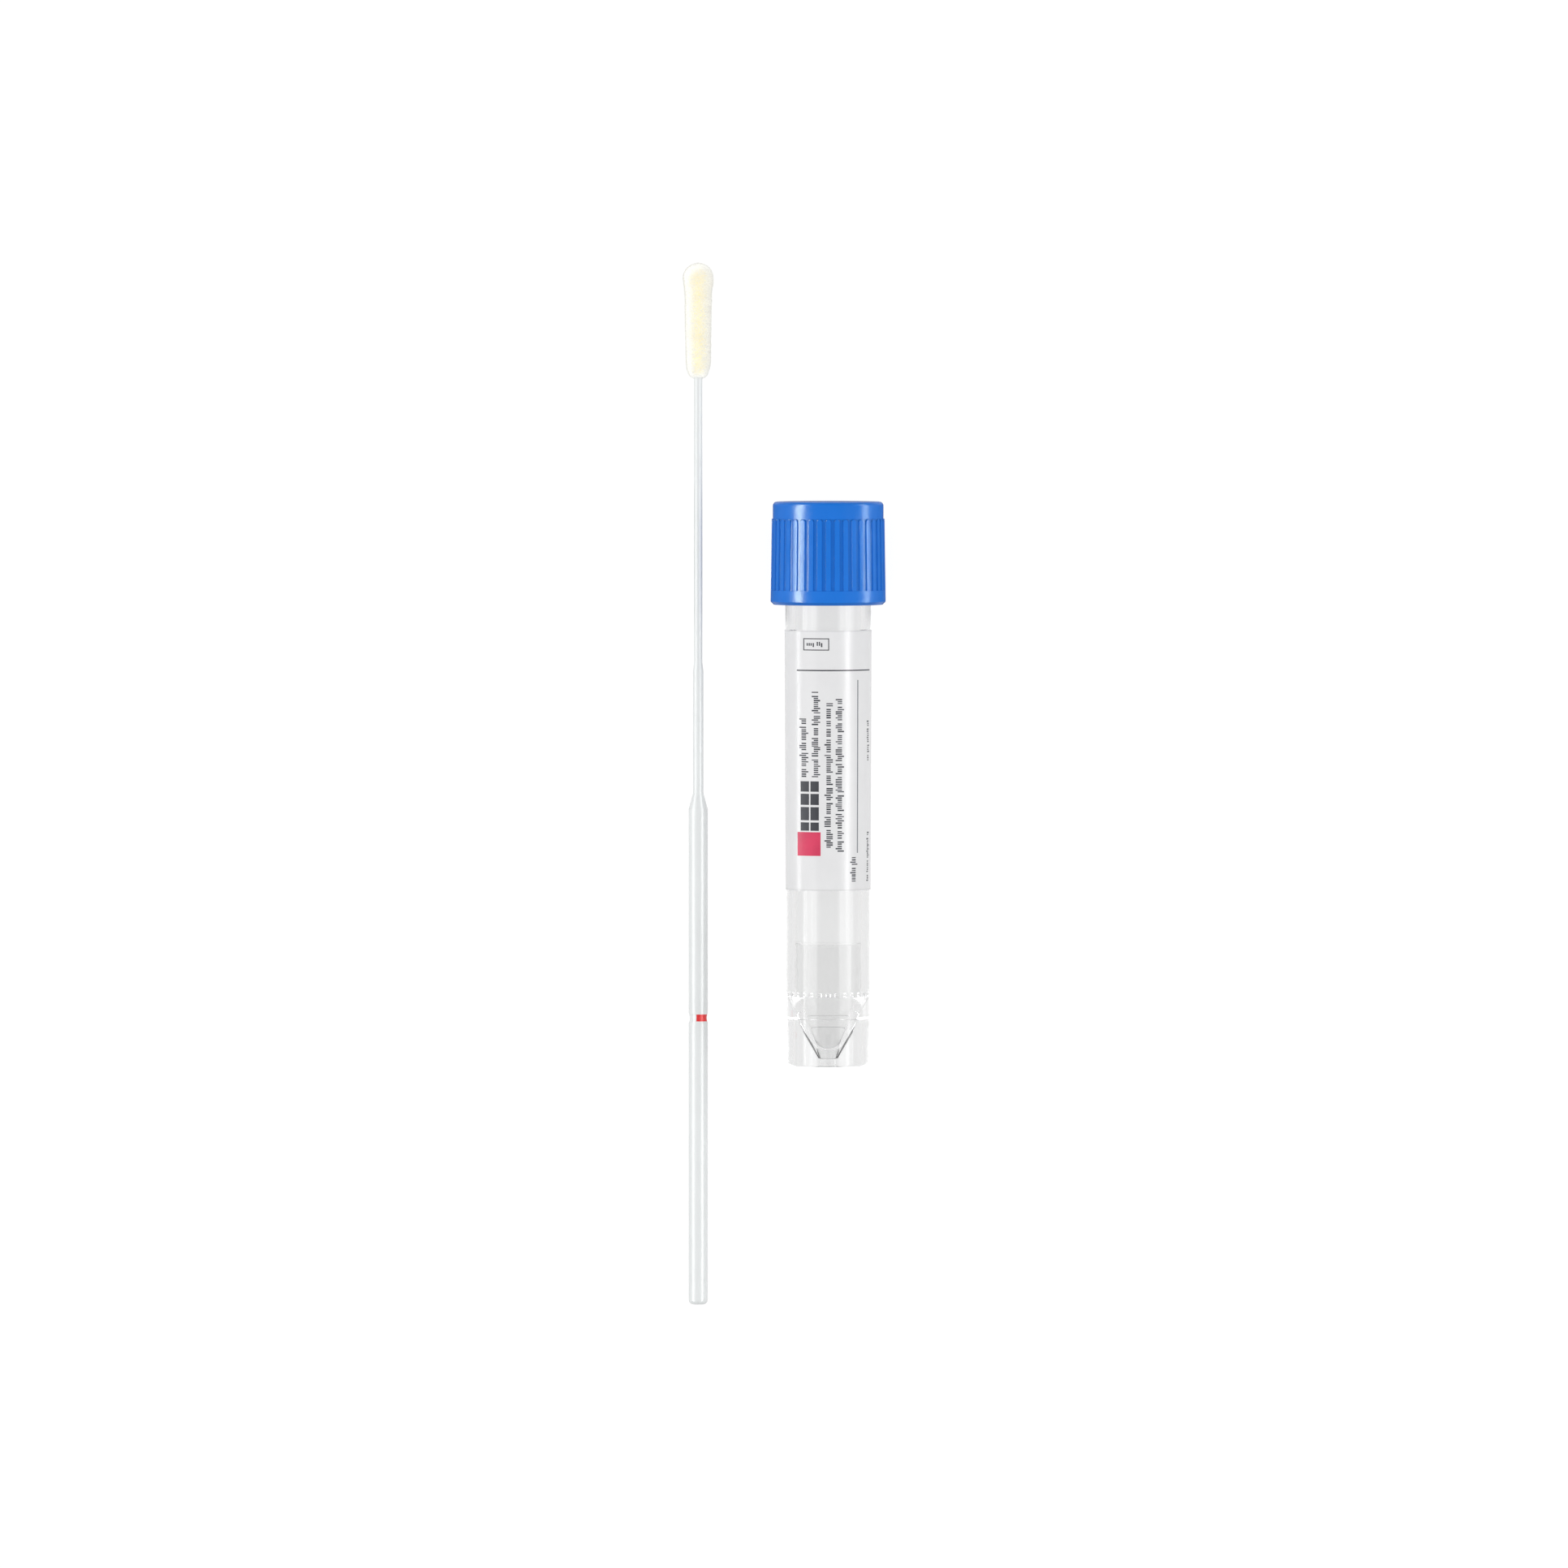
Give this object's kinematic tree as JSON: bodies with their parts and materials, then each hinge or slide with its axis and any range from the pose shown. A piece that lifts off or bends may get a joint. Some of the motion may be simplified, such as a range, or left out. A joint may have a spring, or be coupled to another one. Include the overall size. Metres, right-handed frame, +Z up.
{
  "type": "specimen swab and transport tube set",
  "caption": "Screw-cap transport tube with skirted conical bottom, label and medium, and the flocked swab that is snapped off into it.",
  "frame": {"origin": "centre of the set's outline on the surface that it lies on", "axes": "+Y along the swab and the tube, towards the flocked tip and the cap; +Z up; +X from the swab to the tube"},
  "size_m": [0.0292, 0.15, 0.0168],
  "materials": {
    "clear_tube": "clear moulded plastic, glossy",
    "cap_blue": "moulded plastic, satin gloss",
    "label_paper": "coated white paper, semi-gloss",
    "medium": "clear watery liquid",
    "shaft_white": "moulded plastic, satin gloss",
    "flock": "short upright fibres, matt"
  },
  "bodies": {
    "tube": {"tube": "clear_tube", "label": "label_paper", "medium": "medium"},
    "cap": {"cap": "cap_blue"},
    "swab": {"swab_shaft": "shaft_white", "flock_tip": "flock"}
  },
  "joints": [
    {"name": "cap_lift", "type": "slide", "parent": "tube", "child": "cap", "axis": [0, 0.9994, 0.0343], "range_m": [0, 0.03]},
    {"name": "swab_lift", "type": "slide", "parent": "tube", "child": "swab", "axis": [0, 0, 1], "range_m": [0, 0.08]}
  ]
}
